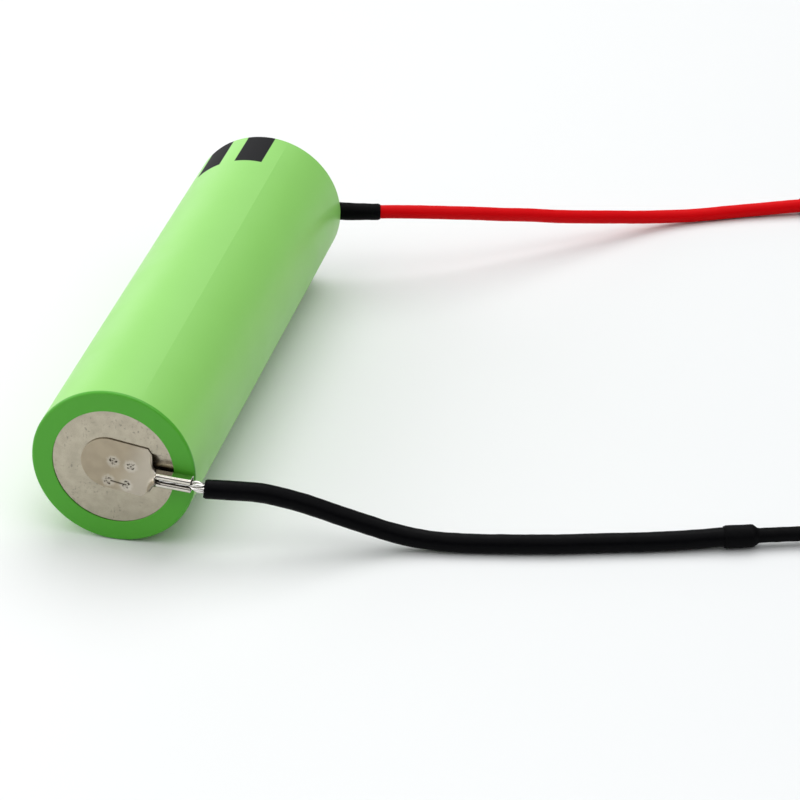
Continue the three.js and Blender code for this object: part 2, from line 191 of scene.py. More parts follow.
def smooth_route(route, step):
    """The centripetal Catmull-Rom curve through a route's points, cut into even steps."""
    points = [Vector(p) for p in route]
    points = [points[0] * 2 - points[1], *points, points[-1] * 2 - points[-2]]
    line_points = []
    for a, b, c, d in zip(points, points[1:], points[2:], points[3:]):
        t0, t1, t2 = (max((q - p).length ** 0.5, 1e-4) for p, q in ((a, b), (b, c), (c, d)))
        start = ((b - a) / t0 - (c - a) / (t0 + t1) + (c - b) / t1) * t1
        end = ((c - b) / t1 - (d - b) / (t1 + t2) + (d - c) / t2) * t1
        for i in range(24):
            s = i / 24
            line_points.append(
                b + start * s
                + (b * -3 + c * 3 - start * 2 - end) * s ** 2
                + (b * 2 - c * 2 + start + end) * s ** 3
            )
    line_points.append(points[-2])
    raw = np.array(line_points)
    length = travelled_along(raw)
    even = np.linspace(0, length[-1], max(2, int(round(length[-1] / step))) + 1)
    return np.stack([np.interp(even, length, raw[:, k]) for k in range(3)], axis=1)


def between_x(path, low, high):
    return path[(path[:, 0] >= low) & (path[:, 0] <= high)]


def route_frames(path):
    """A tangent, a side and an up direction at each point, turning with the path but never twisting."""
    tangents = np.gradient(path, axis=0)
    tangents /= np.linalg.norm(tangents, axis=1)[:, None]
    side = np.cross(tangents[0], (0, 0, 1.0))
    frames = []
    for tangent in tangents:
        side = side - tangent * (side @ tangent)
        side /= np.linalg.norm(side)
        frames.append((tangent, side, np.cross(side, tangent)))
    return frames


def swept_tube(name, path, outer, inner, material, sides, lip, bumps, seed):
    """A hollow tube along a path, its cut ends rounded by lip. outer and inner give the radius at a share of
    the way along, from 0 to 1; bumps is how far the outer surface wanders."""
    frames = route_frames(path)
    travelled = travelled_along(path)
    share = travelled / travelled[-1]
    rings = []
    for i, s in enumerate(share):
        from_end = min(travelled[i], travelled[-1] - travelled[i])
        rounding = 0 if from_end >= lip else lip - math.sqrt(max(0, lip ** 2 - (lip - from_end) ** 2))
        rings.append((i, outer(s) - rounding, True))
    for i in range(len(path) - 1, -1, -1):
        rings.append((i, inner(share[i]), False))
    points = []
    for i, radius, outside in rings:
        _, side, up = frames[i]
        for k in range(sides):
            angle = 2 * math.pi * k / sides
            direction = side * math.cos(angle) + up * math.sin(angle)
            r = radius
            if outside and bumps:
                at = path[i] + direction * radius
                r += bumps * noise.noise(Vector(at) * 0.9 + Vector((seed, 0, 0)))
            points.append(path[i] + direction * r)
    faces = grid_faces(len(rings), sides, close_rows=True, close_columns=True)
    return mesh_piece(name, points, faces, material, sharp=50)


# ---- Material helpers ----------------------------------------------------------------------------


class Finish:
    """A material with a Principled shader, and short ways to add nodes to it."""

    def __init__(self, name, color, roughness, metallic=0.0, **sockets):
        self.material = bpy.data.materials.new(name)
        self.material.use_nodes = True
        self.tree = self.material.node_tree
        self.shader = self.tree.nodes["Principled BSDF"]
        self.shader.inputs["Base Color"].default_value = (*color, 1)
        self.shader.inputs["Roughness"].default_value = roughness
        self.shader.inputs["Metallic"].default_value = metallic
        for socket, value in sockets.items():
            self.shader.inputs[socket.replace("_", " ")].default_value = value
        self.place = self.node("ShaderNodeTexCoord").outputs["Object"]

    def node(self, kind, inputs=(), **settings):
        made = self.tree.nodes.new(kind)
        for key, value in settings.items():
            setattr(made, key, value)
        for socket, value in dict(inputs).items():
            self.feed(made.inputs[socket], value)
        return made

    def feed(self, socket, value):
        if isinstance(value, bpy.types.NodeSocket):
            self.tree.links.new(value, socket)
        else:
            socket.default_value = value

    def math(self, operation, *values):
        made = self.node("ShaderNodeMath", operation=operation)
        for socket, value in zip(made.inputs, values):
            self.feed(socket, value)
        return made.outputs[0]

    def ramp(self, value, low, high, to_low=0.0, to_high=1.0):
        inputs = {"Value": value, "From Min": low, "From Max": high, "To Min": to_low, "To Max": to_high}
        made = self.node("ShaderNodeMapRange", inputs, interpolation_type="SMOOTHSTEP")
        return made.outputs["Result"]

    def noise(self, size_mm, detail=2.0, stretch=None, roughness=0.5):
        """Noise from 0 to 1 whose features are about size_mm across."""
        place = self.place
        if stretch:
            place = self.node("ShaderNodeMapping", {"Vector": place, "Scale": stretch}).outputs[0]
        inputs = {"Vector": place, "Scale": 1 / (size_mm * MM), "Detail": detail, "Roughness": roughness}
        return self.node("ShaderNodeTexNoise", inputs).outputs["Fac"]

    def mix(self, factor, first, second):
        made = self.node("ShaderNodeMix", data_type="RGBA")
        for socket, value in ((0, factor), (6, first), (7, second)):
            self.feed(made.inputs[socket], (*value, 1) if isinstance(value, tuple) else value)
        return made.outputs[2]

    def attribute(self, name):
        return self.node("ShaderNodeAttribute", attribute_name=name).outputs["Fac"]

    def color(self, value):
        self.feed(self.shader.inputs["Base Color"], value)

    def roughness(self, value):
        self.feed(self.shader.inputs["Roughness"], value)

    def bump(self, height, depth_mm, strength=1.0):
        inputs = {"Height": height, "Distance": depth_mm * MM, "Strength": strength}
        if self.shader.inputs["Normal"].is_linked:
            inputs["Normal"] = self.shader.inputs["Normal"].links[0].from_socket
        made = self.node("ShaderNodeBump", inputs)
        self.tree.links.new(made.outputs["Normal"], self.shader.inputs["Normal"])


def scaled(color, factor):
    return tuple(c * factor for c in color)


# ---- Materials -----------------------------------------------------------------------------------

GREEN = (0.27, 0.62, 0.14)
# A deeper green for the film folded over the ends: partly the thicker folded film, partly painted shade, as
# the end faces turn away from the light.
FOLD_GREEN_AND_SHADE = (0.072, 0.375, 0.022)
INK = (0.004, 0.004, 0.0055)
PRINT_START = 25.75
PRINT_BLOCKS = ((-3.4, 10.6), (-37.4, 10.9))


def wrap_finish():
    """Shrink film: satin green with a faint orange peel, two printed black blocks by the positive end, and a
    deeper green on the end folds that is partly painted shade.
    """
    finish = Finish("wrap_film", GREEN, 0.38, IOR=1.5, Specular_IOR_Level=0.34)
    xyz = finish.node("ShaderNodeSeparateXYZ", {"Vector": finish.place})
    across = finish.math("SUBTRACT", xyz.outputs["Z"], AXIS_Z * MM)
    angle = finish.math("DEGREES", finish.math("ARCTAN2", xyz.outputs["X"], across))
    printed = None
    for middle, half in PRINT_BLOCKS:
        away = finish.math("ABSOLUTE", finish.math("SUBTRACT", angle, middle))
        block = finish.ramp(away, half - 0.25, half + 0.25, 1, 0)
        printed = block if printed is None else finish.math("MAXIMUM", printed, block)
    started = finish.ramp(xyz.outputs["Y"], (PRINT_START - 0.05) * MM, (PRINT_START + 0.05) * MM)
    on_side = finish.ramp(xyz.outputs["Y"], (END - 0.12) * MM, (END - 0.02) * MM, 1, 0)
    printed = finish.math("MULTIPLY", finish.math("MULTIPLY", printed, started), on_side)
    cloud = finish.noise(9, 3)
    green = finish.mix(cloud, scaled(GREEN, 0.97), scaled(GREEN, 1.03))
    # Painted shade: the fold green also covers the last part of the side at the near end, and the face of the
    # far end.
    near_fold_and_shade = finish.ramp(xyz.outputs["Y"], (-END + 0.33) * MM, (-END + 0.45) * MM, 1, 0)
    far_fold_and_shade = finish.ramp(xyz.outputs["Y"], (END - 0.1) * MM, (END - 0.02) * MM)
    green = finish.mix(finish.math("MAXIMUM", near_fold_and_shade, far_fold_and_shade), green, FOLD_GREEN_AND_SHADE)
    finish.color(finish.mix(printed, green, INK))
    film = finish.ramp(finish.noise(6, 2), 0.3, 0.7, 0.36, 0.42)
    finish.roughness(finish.math("MAXIMUM", film, finish.math("MULTIPLY", printed, 0.85)))
    finish.bump(finish.noise(0.5, 3), 0.004, 0.4)
    return finish.material


def can_finish():
    """Nickel-plated steel, satin, with faint stains and rolling marks."""
    base = (0.43, 0.39, 0.305)
    finish = Finish("can_nickel", base, 0.4, metallic=1.0)
    grain = finish.noise(0.35, 4, stretch=(1, 1, 5))
    stain = finish.ramp(finish.noise(2.2, 4, roughness=0.6), 0.48, 0.6)
    speck = finish.ramp(finish.noise(0.35, 5), 0.55, 0.68, 0, 0.7)
    clean = finish.mix(finish.ramp(finish.noise(1.3, 5), 0.3, 0.7), scaled(base, 0.9), scaled(base, 1.08))
    marked = finish.math("MULTIPLY", stain, speck)
    finish.color(finish.mix(marked, clean, (0.20, 0.18, 0.15)))
    finish.roughness(finish.ramp(finish.noise(0.8, 4), 0.3, 0.7, 0.17, 0.26))
    finish.bump(grain, 0.002, 0.4)
    return finish.material


def tag_finish():
    """Nickel strip: satin on the flat, burnished on the rolled barrel, dark and pale marks at the welds, and
    painted shade in the barrel's seam and mouth and on the back at its neck.
    """
    base = (0.36, 0.305, 0.222)
    finish = Finish("tag_nickel", base, 0.36, metallic=1.0)
    grain = finish.noise(0.3, 4, stretch=(1, 1, 4))
    cloud = finish.noise(1.8, 3)
    rolled = finish.attribute("rolled")
    plain = finish.mix(finish.ramp(cloud, 0.3, 0.7), scaled(base, 0.94), scaled(base, 1.08))
    plain = finish.mix(rolled, plain, (0.74, 0.71, 0.65))
    plain = finish.mix(finish.attribute("halo"), plain, (0.62, 0.58, 0.51))
    # Dark weld burns and the scratch, together with painted shade in the barrel's seam, in its first mouth,
    # and on the back at the neck and under the barrel.
    finish.color(finish.mix(finish.attribute("burn_and_shade"), plain, (0.045, 0.035, 0.025)))
    satin = finish.ramp(grain, 0.3, 0.7, 0.30, 0.38)
    finish.roughness(finish.math("MULTIPLY_ADD", rolled, -0.22, satin))
    finish.bump(grain, 0.004, 0.5)
    return finish.material


def strand_finish():
    """Tinned copper, bright, with a little unevenness in the tin."""
    finish = Finish("tinned_strands", (0.80, 0.79, 0.76), 0.24, metallic=1.0)
    tin = finish.noise(0.25, 3)
    finish.color(finish.mix(tin, (0.70, 0.68, 0.64), (0.88, 0.87, 0.85)))
    finish.bump(tin, 0.01, 0.4)
    return finish.material


def jacket_finish(name, color, roughness):
    """Extruded lead jacket: satin, with faint lines along it and small scuffs."""
    finish = Finish(name, color, roughness, IOR=1.48, Specular_IOR_Level=0.05)
    scuff = finish.ramp(finish.noise(0.7, 4), 0.55, 0.75, 0, 0.35)
    worn = tuple(c * 0.9 + 0.002 for c in color)
    finish.color(finish.mix(scuff, color, worn))
    finish.roughness(finish.ramp(finish.noise(0.5, 3), 0.3, 0.7, roughness - 0.06, roughness + 0.08))
    finish.bump(finish.noise(0.15, 3), 0.006, 0.35)
    return finish.material


def shrink_finish():
    """Heat-shrink: matt black, softly wrinkled around the tube."""
    finish = Finish("heat_shrink", (0.002, 0.002, 0.0025), 0.5, IOR=1.46, Specular_IOR_Level=0.05)
    finish.roughness(finish.ramp(finish.noise(0.4, 3), 0.3, 0.7, 0.44, 0.6))
    finish.bump(finish.noise(0.5, 3), 0.02, 0.5)
    finish.bump(finish.noise(0.1, 2), 0.004, 0.5)
    return finish.material


def flecked_finish(name, color, roughness, fleck, size_mm, metallic=0.0, depth_mm=0.01, stretch=None):
    """A plain material with flecks of a second colour and a matching bump."""
    finish = Finish(name, color, roughness, metallic=metallic)
    pattern = finish.noise(size_mm, 4, stretch=stretch)
    finish.color(finish.mix(finish.ramp(pattern, 0.35, 0.7), color, fleck))
    finish.roughness(finish.ramp(pattern, 0.3, 0.7, roughness - 0.05, roughness + 0.07))
    finish.bump(pattern, depth_mm, 0.5)
    return finish.material


def floor_finish():
    """Pale and matt, and a little darker towards +X: painted shade for the light falling off there."""
    finish = Finish("floor", (0.86, 0.87, 0.865), 0.55, Specular_IOR_Level=0.3)
    xyz = finish.node("ShaderNodeSeparateXYZ", {"Vector": finish.place})
    # Painted shade: the floor darkens towards +X, where the light falls off.
    away = finish.ramp(xyz.outputs["X"], -0.04, 0.14)
    finish.color(finish.mix(away, (0.788, 0.80, 0.80), (0.722, 0.738, 0.748)))
    finish.bump(finish.noise(1.2, 3), 0.01, 0.1)
    return finish.material


WRAP = wrap_finish()
CAN = can_finish()
TAG = tag_finish()
STRANDS = strand_finish()
BLACK_JACKET = jacket_finish("black_jacket", (0.0016, 0.0016, 0.0022), 0.42)
RED_JACKET = jacket_finish("red_jacket", (0.64, 0.0015, 0.004), 0.42)
SHRINK = shrink_finish()
PAPER = flecked_finish("white_paper", (0.78, 0.77, 0.73), 0.75, (0.70, 0.68, 0.62), 0.25)
GASKET = flecked_finish("gasket_plastic", (0.66, 0.66, 0.63), 0.45, (0.6, 0.6, 0.57), 0.4)
PTC = flecked_finish("ptc_polymer", (0.05, 0.05, 0.055), 0.6, (0.12, 0.12, 0.12), 0.2)
ALUMINIUM = flecked_finish("header_aluminium", (0.80, 0.80, 0.81), 0.32, (0.68, 0.68, 0.69), 0.3, 1.0, 0.004)
FIBRE = flecked_finish("fibre_board", (0.42, 0.34, 0.22), 0.8, (0.34, 0.27, 0.17), 0.3, stretch=(1, 1, 4))
CATHODE = flecked_finish("cathode_coating", (0.022, 0.022, 0.024), 0.75, (0.05, 0.05, 0.05), 0.15)
ANODE = flecked_finish("anode_coating", (0.06, 0.055, 0.05), 0.6, (0.16, 0.10, 0.07), 0.15)
SEPARATOR = flecked_finish("separator_film", (0.80, 0.80, 0.78), 0.5, (0.72, 0.72, 0.70), 0.5)
INNER_STEEL = flecked_finish("plated_steel", (0.58, 0.55, 0.49), 0.38, (0.48, 0.45, 0.39), 0.3, 1.0, 0.004)

# ---- Leads, with the routes that the CAD's leads have --------------------------------------------

BLACK_ROUTE = (
    (5.6, -33.62, 9.12), (9.1, -33.62, 8.87), (10.4, -33.7, 8.6), (13.2, -32.9, 8.25), (16.2, -31.6, 7.6),
    (20.2, -30.1, 6.1), (25.4, -28.6, 3.8), (30.7, -27.5, 1.9), (34.1, -27.0, 1.3), (38.3, -26.3, 1.1),
    (43.7, -25.2, 1.1), (47.9, -24.2, 1.1), (52.1, -23.0, 1.1), (57.4, -21.5, 1.1), (62.4, -19.95, 1.2),
    (64.9, -19.15, 1.33), (67.9, -18.18, 1.33), (73.1, -16.5, 1.33), (82.5, -13.46, 1.33),
)
RED_ROUTE = (
    (5.6, 33.77, 8.8), (9.2, 33.77, 8.8), (11.3, 34.0, 8.85), (13.5, 34.5, 8.85), (16.1, 35.4, 8.7),
    (19.0, 36.6, 8.4), (21.8, 38.1, 7.9), (24.6, 39.8, 7.3), (27.4, 41.8, 6.5), (30.7, 44.4, 5.5),
    (34.0, 47.0, 4.4), (37.4, 49.7, 3.4), (40.8, 52.3, 2.5), (43.0, 54.0, 1.9), (45.4, 55.7, 1.4),
    (47.9, 57.2, 1.05), (50.2, 58.4, 0.9), (53.2, 59.85, 0.88), (56.2, 61.15, 0.9), (61.9, 63.3, 1.1),
    (66.0, 64.85, 1.1), (74.0, 67.87, 1.1),
)
ROUTE_STEP = 0.25
BLACK_R, BLACK_BORE_R, BLACK_CORE_R = 1.075, 0.66, 0.55
RED_R, RED_BORE_R, RED_CORE_R = 0.84, 0.52, 0.42
BLACK_JACKET_X = (10.35, 66.6)
RED_JACKET_X = (9.9, 63.6)
BARREL_END = 9.15
CRIMP_SLEEVE_X = (7.6, 13.8)
CRIMP_SLEEVE_R = 1.10
SLEEVE_WALL = 0.1
STRAND_LAY = 9.0
STRANDS_PER_CORE = 3.15
SQUEEZED_IN_BARREL = 0.7


def steady(radius):
    return lambda share: radius


def inside_of(outer):
    return lambda share: outer(share) - SLEEVE_WALL


def strand_bundle(name, path, core_radius, flare_at, flare):
    """Seven strands laid in a rope, one in the middle and six round it. They bulge by flare where they pass
    flare_at, between the crimp and the jacket."""
    sides = 14
    strand_radius = core_radius / STRANDS_PER_CORE
    frames = route_frames(path)
    travelled = travelled_along(path)
    points, faces = [], []
    for ring, count in enumerate((1, 6)):
        for strand in range(count):
            start = len(points)
            for i, (_, side, up) in enumerate(frames):
                bulge = 1 + flare * math.exp(-((path[i][0] - flare_at) / 0.55) ** 2)
                bulge *= 1 if path[i][0] > BARREL_END else SQUEEZED_IN_BARREL
                turn = 2 * math.pi * (strand / count + travelled[i] / STRAND_LAY)
                reach = ring * 2 * strand_radius * bulge
                centre = path[i] + (side * math.cos(turn) + up * math.sin(turn)) * reach
                for k in range(sides):
                    a = 2 * math.pi * k / sides
                    points.append(centre + (side * math.cos(a) + up * math.sin(a)) * strand_radius)
            faces += grid_faces(len(frames), sides, close_columns=True, start=start)
            last = start + (len(frames) - 1) * sides
            faces.append(tuple(range(start + sides - 1, start - 1, -1)))
            faces.append(tuple(range(last, last + sides)))
    return mesh_piece(name, points, faces, STRANDS, sharp=60)


def end_sleeve(name, path, start_x, wide, cone, narrow, wide_radius, narrow_radius, seed):
    """Heat-shrink shrunk over the jacket's end and on down to the strands, open at both ends."""
    total = wide + cone + narrow
    own = path[path[:, 0] >= start_x]
    own = own[travelled_along(own) <= total]

    def outer(share):
        along = share * total
        swell = 0.02 * math.exp(-((along - 0.5) / 0.5) ** 2)
        return wide_radius + (narrow_radius - wide_radius) * ease(along, wide, wide + cone) + swell

    inner = inside_of(outer)
    return swept_tube(name, own, outer, inner, SHRINK, sides=36, lip=0.1, bumps=0.05, seed=seed)


def make_black_lead():
    path = smooth_route(BLACK_ROUTE, ROUTE_STEP)
    jacket_path = between_x(path, *BLACK_JACKET_X)
    jacket = swept_tube(
        "black_lead", jacket_path, steady(BLACK_R), steady(BLACK_BORE_R), BLACK_JACKET,
        sides=32, lip=0.12, bumps=0.03, seed=3.0,
    )
    strands = strand_bundle("black_strands", path, BLACK_CORE_R, flare_at=9.8, flare=0.32)
    sleeve = end_sleeve(
        "black_shrink_end", path, start_x=64.9, wide=3.15, cone=0.8, narrow=9.5,
        wide_radius=1.27, narrow_radius=0.815, seed=5.0,
    )
    stands_for("black_insulation")
    stands_for("black_conductor")
    stands_for("black_end_sleeve")


def make_red_lead():
    path = smooth_route(RED_ROUTE, ROUTE_STEP)
    jacket_path = between_x(path, *RED_JACKET_X)
    jacket = swept_tube(
        "red_lead", jacket_path, steady(RED_R), steady(RED_BORE_R), RED_JACKET,
        sides=28, lip=0.1, bumps=0.02, seed=7.0,
    )
    strands = strand_bundle("red_strands", path, RED_CORE_R, flare_at=9.5, flare=0.1)
    sleeve = end_sleeve(
        "red_shrink_end", path, start_x=62.3, wide=3.0, cone=0.8, narrow=5.5,
        wide_radius=1.04, narrow_radius=0.7, seed=9.0,
    )
    crimp_sleeve = make_positive_shrink(path)
    stands_for("red_insulation")
    stands_for("red_conductor")
    stands_for("red_end_sleeve")


def make_positive_shrink(path):
    """Heat-shrink over the positive crimp barrel, shrunk down on the red jacket beyond it."""
    own = between_x(path, *CRIMP_SLEEVE_X)

    def outer(share):
        return CRIMP_SLEEVE_R - 0.06 * ease(share, 0.25, 0.6)

    inner = inside_of(outer)
    sleeve = swept_tube(
        "positive_shrink", own, outer, inner, SHRINK, sides=36, lip=0.12, bumps=0.05, seed=11.0,
    )
    stands_for("positive_sleeve")
    return sleeve


make_black_lead()
make_red_lead()

# ---- Wrap ----------------------------------------------------------------------------------------

CREASE_ANGLE = 19.35
CREASE_TWIST = -0.055
CREASE_HEIGHT, CREASE_TAPER = 0.052, 0.014
CREASE_WIDTH = 4
CORNER = 0.25
RESTING_COS = -0.93


def wrap_angles():
    """Even steps round the wrap, with more of them along its lay-flat crease."""
    even = np.arange(0, 360, 1.5)
    fine = np.arange(CREASE_ANGLE - 4, CREASE_ANGLE + 4, 0.25)
    return np.radians(np.unique(np.round(np.concatenate([even, fine]), 3)))


def wrap_warp(angle, radius, y):
    """The film's own unevenness: a lay-flat crease along one side, soft waves, and puckers on the folds.
    The stretch that the cell rests on stays round."""
    degrees = math.degrees(angle)
    degrees = degrees - 360 if degrees > 180 else degrees
    on_side = max(0, min(1, (END - 0.6 - abs(y)) / 4)) if radius > R - 0.5 else 0
    off_crease = degrees - (CREASE_ANGLE + CREASE_TWIST * y)
    crease = (CREASE_HEIGHT + CREASE_TAPER * y / END) * math.exp(-abs(off_crease) / CREASE_WIDTH)
    place = Vector((math.sin(angle) * 1.6, y * 0.10, math.cos(angle) * 1.6))
    wave = 0.010 * noise.noise(place)
    at_fold = abs(abs(y) - END) < 0.5 and radius < R - 0.3
    pucker = 0.012 * noise.noise(Vector((math.sin(angle) * 7, math.cos(angle) * 7, y))) if at_fold else 0
    resting = math.cos(angle) < RESTING_COS
    shift = 0 if resting else (crease + wave) * on_side
    return radius + shift, y + pucker * math.copysign(1, y)


def wrap_profile():
    inside = R - FILM
    profile = arc((NEGATIVE_FOLD_R + 0.05, -END + 0.05), 0.05, 180, 270, 3)
    profile += line((NEGATIVE_FOLD_R + 0.1, -END), (R - CORNER, -END), 10)
    profile += arc((R - CORNER, -END + CORNER), CORNER, -90, 0, 8)
    profile += line((R, -END + CORNER + 0.2), (R, END - CORNER), 90)
    profile += arc((R - CORNER, END - CORNER), CORNER, 0, 90, 8)
    profile += line((R - CORNER - 0.1, END), (POSITIVE_FOLD_R + 0.05, END), 10)
    profile += arc((POSITIVE_FOLD_R + 0.05, END - 0.05), 0.05, 90, 180, 3)
    profile += [(POSITIVE_FOLD_R, END - FILM), (inside - 0.25, END - FILM), (inside, END - FILM - 0.25)]
    profile += [(inside, -END + FILM + 0.25), (inside - 0.25, -END + FILM), (NEGATIVE_FOLD_R, -END + FILM)]
    return profile


def make_wrap():
    piece = revolved("wrap", wrap_profile(), WRAP, angles=wrap_angles(), warp=wrap_warp)
    stands_for("pvc_wrap")


make_wrap()

# ---- Can -----------------------------------------------------------------------------------------

WALL = 0.22
FLOOR = 0.3
BEAD = 28.8
BEAD_DEPTH = 1.0
CAN_CORNER = 0.6
MOUTH_R = 7.4


def can_profile():
    bore = CAN_R - WALL
    profile = [(0, CAN_BOTTOM), (1, CAN_BOTTOM)]
    profile += line((2, CAN_BOTTOM), (CAN_R - CAN_CORNER, CAN_BOTTOM), 8)
    profile += arc((CAN_R - CAN_CORNER, CAN_BOTTOM + CAN_CORNER), CAN_CORNER, -90, 0, 8)
    for side, radius in ((1, CAN_R), (-1, bore)):
        groove = [
            (radius - BEAD_DEPTH * 0.5 * (1 + math.cos(math.pi * s)), BEAD + 0.9 * s)
            for s in np.linspace(-1, 1, 13)
        ]
        if side == 1:
            profile += groove
            profile += arc((CAN_R - CAN_CORNER, CAN_RIM - CAN_CORNER), CAN_CORNER, 0, 90, 8)
            profile += [(MOUTH_R + 0.04, CAN_RIM), (MOUTH_R, CAN_RIM - 0.04), (MOUTH_R, CAN_RIM - WALL)]
            profile += arc((bore - 0.4, CAN_RIM - WALL - 0.4), 0.4, 90, 0, 5)
        else:
            profile += groove[::-1]
    profile += arc((bore - 0.38, CAN_BOTTOM + 0.68), 0.38, 0, -90, 5)
    return profile + [(0, CAN_BOTTOM + FLOOR)]


def make_can():
    piece = revolved("can", can_profile(), CAN, steps=144)
    stands_for("cell_can")


make_can()

# ---- Solder tags ---------------------------------------------------------------------------------

TAG_HALF = 3.05
TAG_ROUND = -0.56
TAG_SHOULDER = 3.59
NECK_HALF = 1.62
NECK_AT = 4.8
BARREL_START = 5.25
BARREL_LENGTH = 3.9
WING = 2.78
SHEET = 0.15
TAG_LIFT = 0.02 + SHEET / 2
BARREL_BASE = 0.435
FOLD_START, FOLD_LENGTH = 0.40, 0.542
CURL_START, CURL_LENGTH = 1.632, 0.90
NECK_FOLD = 4.0
WELDS = ((0.0, 0.38), (1.99, 0.33), (-0.24, -2.14), (1.78, -2.15))
BARREL_TURN, PLATE_TURN, PLATE_SHIFT = math.radians(-4.2), math.radians(-5.2), 0.12
NEGATIVE_OFFSET, POSITIVE_OFFSET = 0.285, -0.45


def developed_half(u):
    """Half the width of the flat strip that the tag is stamped from, at a distance along it."""
    if u < TAG_ROUND:
        return math.sqrt(max(0, TAG_HALF ** 2 - (u - TAG_ROUND) ** 2))
    tapered = TAG_HALF + (NECK_HALF - TAG_HALF) * fraction(u, TAG_SHOULDER, NECK_AT - TAG_SHOULDER)
    return tapered + (WING - NECK_HALF) * ease(u, BARREL_START - 0.1, BARREL_START + 0.05)


def bent_point(distance, fold, curl):
    """Across and up from the middle line of the strip, for a sheet whose sides are folded up by one share and
    whose wings are curled over by another."""
    steps = max(1, int(abs(distance) / 0.04))
    across = up = 0.0
    for i in range(steps):
        at = abs(distance) * (i + 0.5) / steps
        angle = math.pi / 2 * fold * fraction(at, FOLD_START, FOLD_LENGTH)
        angle += math.pi * curl * fraction(at, CURL_START, CURL_LENGTH)
        across += math.cos(angle) * abs(distance) / steps
        up += math.sin(angle) * abs(distance) / steps
    return math.copysign(across, distance), up


def bend_shares(u):
    """(fold, curl): flat on the plate, a channel in the neck, wings curled over in the barrel, and its first
    mouth left a little open."""
    fold = ease(u, NECK_FOLD, BARREL_START - 0.05)
    mouth = 0.12 * (1 - ease(u, BARREL_START + 0.1, BARREL_START + 0.6))
    curl = ease(u, BARREL_START - 0.1, BARREL_START + 0.15)
    return fold, curl * (1.02 - mouth)


def weld_marks(u, v):
    """(height, burn, halo) of the four weld spots and of the scratch between the last two, at a point u along
    the tag and v across it."""
    height = burn_and_shade = halo = 0.0
    for k, (a, b) in enumerate(WELDS):
        away = math.hypot(u - a, v - b)
        if away > 1.2:
            continue
        rough = noise.noise(Vector((u * 4, v * 4, k * 3.0)))
        fine = noise.noise(Vector((u * 8, v * 8, k * 5.0 + 2)))
        ring = math.exp(-((away - 0.36 - 0.2 * rough) / 0.085) ** 2)
        pit = math.exp(-(away / 0.36) ** 2)
        height += 0.03 * ring * (0.4 + fine) - 0.035 * pit + 0.05 * fine * pit
        broken = min(1, max(0, 0.45 + 2.4 * noise.noise(Vector((u * 3.3, v * 3.3, k * 7.0 + 1)))))
        burn_and_shade = max(burn_and_shade, ring * broken * 1.3, pit * min(1, max(0, fine * 4 - 0.5)))
        halo = max(halo, 0.5 * ease(0.95 + 0.15 * rough - away, 0, 0.5))
    (a, b), (c, d) = WELDS[2], WELDS[3]
    a, b = a + 0.25, b + 0.05
    along = ((u - a) * (c - a) + (v - b) * (d - b)) / ((c - a) ** 2 + (d - b) ** 2)
    if 0 <= along <= 1:
        away = math.hypot(u - a - along * (c - a), v - b - along * (d - b))
        scratch = math.exp(-(away / 0.105) ** 2)
        height -= 0.015 * scratch
        burn_and_shade = max(burn_and_shade, scratch)
    return height, min(1, burn_and_shade), halo


def tag_rows():
    round_end = TAG_ROUND - TAG_HALF * np.cos(np.linspace(0.02, math.pi / 2, 60))
    plate = np.arange(TAG_ROUND + 0.045, TAG_SHOULDER, 0.045)
    neck = np.arange(TAG_SHOULDER, BARREL_START - 0.1, 0.05)
    step = np.linspace(BARREL_START - 0.1, BARREL_START + 0.5, 30)
    barrel = np.linspace(BARREL_START + 0.55, BARREL_START + BARREL_LENGTH, 40)
    return np.concatenate([round_end, plate, neck, step, barrel])


